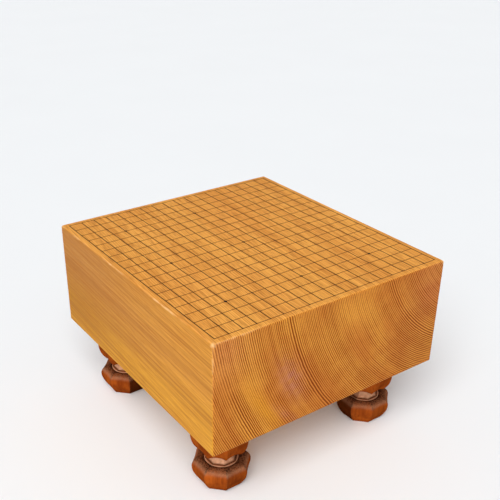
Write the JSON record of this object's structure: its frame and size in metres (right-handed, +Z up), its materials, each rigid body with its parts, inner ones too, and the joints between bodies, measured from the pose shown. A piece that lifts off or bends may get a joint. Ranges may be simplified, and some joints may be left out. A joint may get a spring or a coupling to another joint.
{
  "type": "weiqi board",
  "caption": "Floor-standing weiqi board: a thick solid timber block with a lacquered grid of lines and star points on top, standing on short carved octagonal legs that pull out of its underside.",
  "frame": {"origin": "on the floor, under the middle of the block", "axes": "+Z up from the floor to the playing surface, +Y along the grain and the longer side of the block, +X across the grain; the end-grain face at -Y is the front"},
  "size_m": [0.424, 0.454, 0.3013],
  "materials": {
    "board_wood": "waxed timber, honey coloured, end grain darker than the sides",
    "line_lacquer": "raised black-brown lacquer",
    "leg_wood": "polished orange-brown timber, smoked dark at the neck"
  },
  "bodies": {
    "board": {"board_block": "board_wood", "grid_lines": "line_lacquer", "star_points": "line_lacquer"},
    "leg_front_left": {"leg_front_left": "leg_wood"},
    "leg_front_right": {"leg_front_right": "leg_wood"},
    "leg_back_left": {"leg_back_left": "leg_wood"},
    "leg_back_right": {"leg_back_right": "leg_wood"}
  },
  "joints": [
    {"name": "pull_front_left", "type": "slide", "parent": "board", "child": "leg_front_left", "axis": [0, 0, -1], "range_m": [0, 0.028]},
    {"name": "pull_front_right", "type": "slide", "parent": "board", "child": "leg_front_right", "axis": [0, 0, -1], "range_m": [0, 0.028]},
    {"name": "pull_back_left", "type": "slide", "parent": "board", "child": "leg_back_left", "axis": [0, 0, -1], "range_m": [0, 0.028]},
    {"name": "pull_back_right", "type": "slide", "parent": "board", "child": "leg_back_right", "axis": [0, 0, -1], "range_m": [0, 0.028]}
  ]
}
